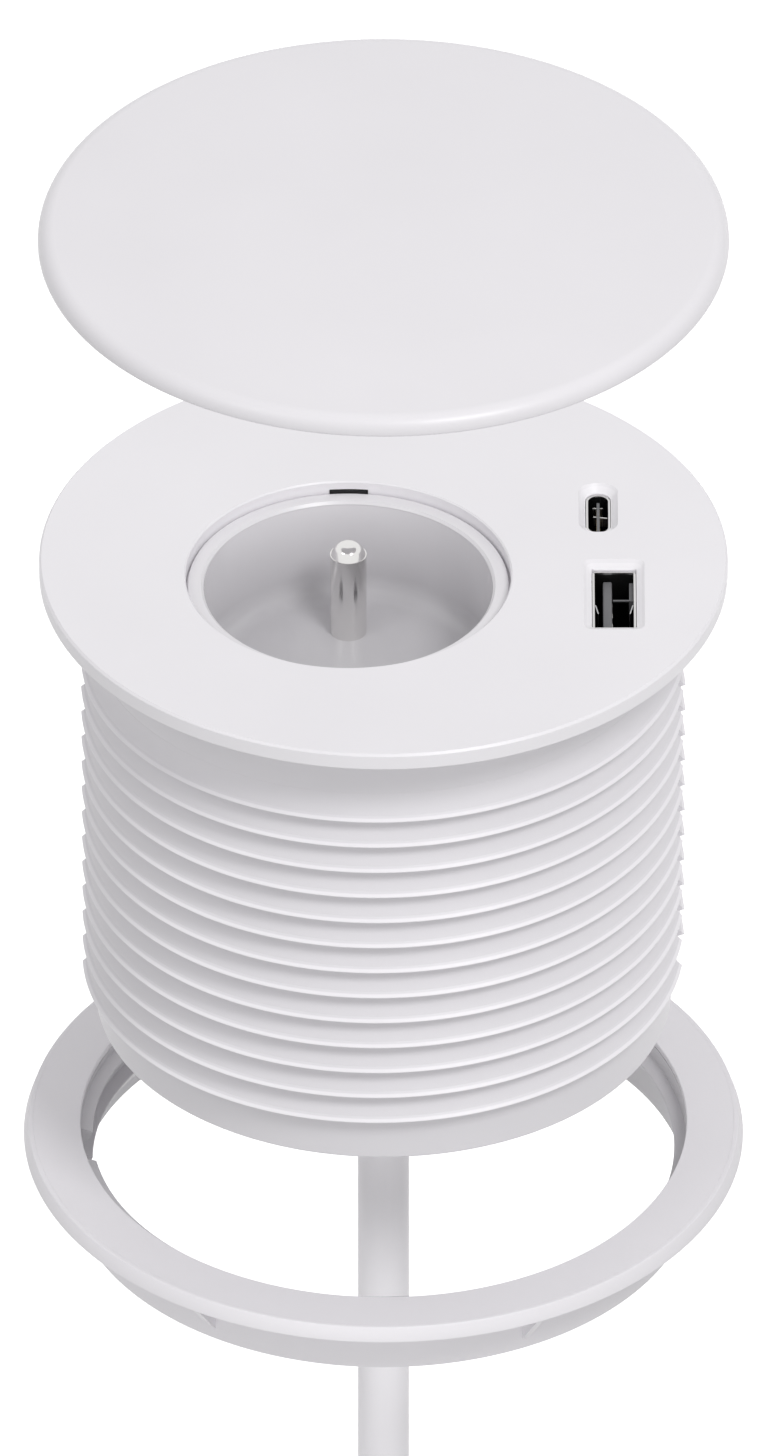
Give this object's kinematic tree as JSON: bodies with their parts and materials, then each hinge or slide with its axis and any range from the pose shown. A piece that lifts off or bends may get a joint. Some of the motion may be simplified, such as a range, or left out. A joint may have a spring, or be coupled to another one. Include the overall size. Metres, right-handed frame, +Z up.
{
  "type": "recessed desk socket",
  "caption": "Round recessed desk socket with one earthed outlet, a USB-C and a USB-A port, a lift-off lid, a clamp nut and a mains cord.",
  "frame": {"origin": "centre of the flange's underside, where the desk hole's axis meets the desk top", "axes": "+Z up out of the desk along the barrel, -Y towards the user, +X to the user's right, past the charging ports"},
  "size_m": [0.1223, 0.095, 0.4119],
  "materials": {
    "white_plastic": "fine satin moulding, signal white",
    "lid_plastic": "satin moulding, signal white",
    "insert_plastic": "satin moulding",
    "nut_plastic": "satin moulding",
    "grey_plastic": "plain moulding",
    "dark_plastic": "plain moulding",
    "plug_white": "plain moulding",
    "cord_white": "smooth sheath",
    "slip_rubber": "smooth, slightly soft",
    "nickel": "satin nickel plate",
    "steel": "zinc plated",
    "brass": "plain strip",
    "aluminium": "drawn cans",
    "board_green": "solder-masked board",
    "wire_brown": "smooth insulation",
    "wire_blue": "smooth insulation",
    "wire_green": "smooth insulation"
  },
  "bodies": {
    "housing": {"housing_barrel": "white_plastic", "socket_insert": "insert_plastic", "earth_pin": "nickel", "shutter_spring": "steel", "contact_carrier": "grey_plastic", "live_contact": "brass", "neutral_contact": "brass", "earth_strap": "brass", "live_wire": "wire_brown", "neutral_wire": "wire_blue", "earth_wire": "wire_green", "charger_board": "board_green", "board_screws": "steel", "usb_c_shell": "steel", "usb_c_tongue": "dark_plastic", "usb_a_shell": "steel", "usb_a_tongue": "grey_plastic", "transformer": "dark_plastic", "capacitors": "aluminium", "charger_leads": "wire_blue", "bottom_cap": "white_plastic", "cap_screws": "steel", "cord_gland": "cord_white", "cord_jacket": "cord_white", "cord_clamp": "grey_plastic", "clamp_screws": "steel", "insert_screws": "steel", "carrier_screws": "steel", "mains_cord": "cord_white", "cord_coil": "cord_white", "coil_tie": "dark_plastic", "cord_tail": "cord_white", "plug_strain_relief": "cord_white", "plug_body": "plug_white", "plug_pins": "nickel", "plug_earth_clips": "nickel"},
    "lid": {"lid_shell": "lid_plastic", "lid_liner": "insert_plastic"},
    "slip_ring": {"nut_slip_ring": "slip_rubber"},
    "nut": {"clamp_nut": "nut_plastic"},
    "shutter_body": {"shutter": "insert_plastic"}
  },
  "joints": [
    {"name": "lid_lift", "type": "slide", "parent": "housing", "child": "lid", "axis": [0, 0, 1], "range_m": [-0.0499, 0]},
    {"name": "nut_travel", "type": "slide", "parent": "housing", "child": "slip_ring", "axis": [0, 0, 1], "range_m": [0, 0.0757]},
    {"name": "nut_turn", "type": "hinge", "parent": "slip_ring", "child": "nut", "pos_m": [0, 0, -0.09], "axis": [0, 0, 1], "range_deg": [0, 6812.9]},
    {"name": "shutter_slide", "type": "slide", "parent": "housing", "child": "shutter_body", "axis": [0, -1, 0], "range_m": [0, 0.007], "stiffness_N_per_m": 60, "springref_m": -0.004, "deforming": ["shutter_spring"]}
  ],
  "couplings": [
    {"joint": "nut_turn", "follows": "nut_travel", "rad_per_m": 1570.8}
  ]
}
